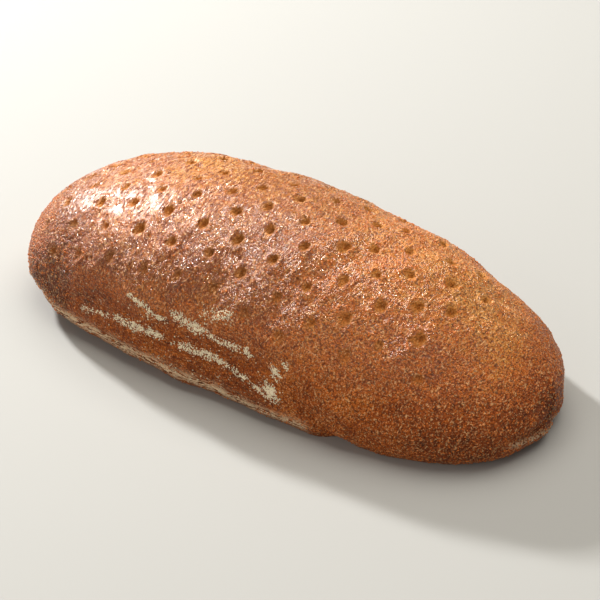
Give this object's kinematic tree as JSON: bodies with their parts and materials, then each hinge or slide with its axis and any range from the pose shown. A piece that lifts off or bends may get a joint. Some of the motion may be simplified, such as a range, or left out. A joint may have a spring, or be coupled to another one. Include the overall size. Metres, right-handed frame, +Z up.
{
  "type": "rye-wheat bread loaf",
  "caption": "Long oval rye-wheat bread loaf with a glossy brown crust, rows of docking pits along its top, a floury pressed side and a flat base to stand on.",
  "frame": {"origin": "middle of the loaf's outline on the surface it stands on", "axes": "+Z up, +X along the loaf's length towards its blunter end, -Y towards the side pressed flat"},
  "size_m": [0.2998, 0.137, 0.0821],
  "materials": {
    "crust": "glossy baked crust, a little rough, with flour on the pressed side and the base"
  },
  "bodies": {
    "root": {"rye_wheat_loaf": "crust"}
  },
  "joints": []
}
